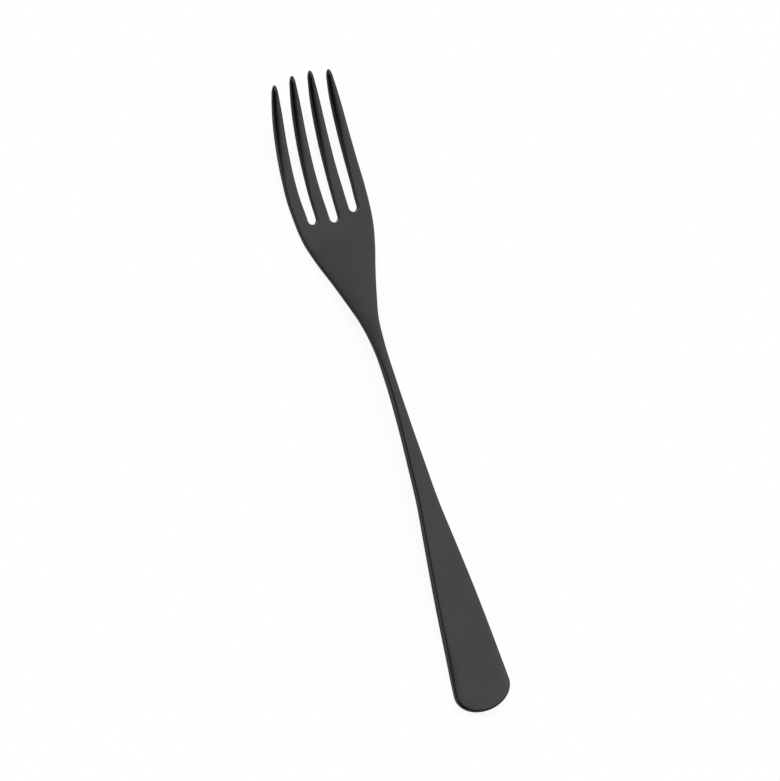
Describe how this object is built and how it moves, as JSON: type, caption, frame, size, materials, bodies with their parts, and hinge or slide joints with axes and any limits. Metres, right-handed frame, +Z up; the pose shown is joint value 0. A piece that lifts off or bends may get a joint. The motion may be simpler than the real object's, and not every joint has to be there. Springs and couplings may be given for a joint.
{
  "type": "dinner fork",
  "caption": "Slim black-coated steel table fork with a wide round-ended handle, a narrow neck and long tapered tines.",
  "frame": {"origin": "on the table, under the middle of the fork's length and width, as the fork rests with its hollow side up", "axes": "+Y along the fork towards the tips of the tines, +X to the right seen from above, +Z up from the table"},
  "size_m": [0.0268, 0.2051, 0.0092],
  "materials": {
    "black_steel": "black coating over finely polished stainless steel"
  },
  "bodies": {
    "root": {"handle": "black_steel", "neck": "black_steel", "head": "black_steel", "tine_left_outer": "black_steel", "tine_left_inner": "black_steel", "tine_right_inner": "black_steel", "tine_right_outer": "black_steel"}
  },
  "joints": []
}
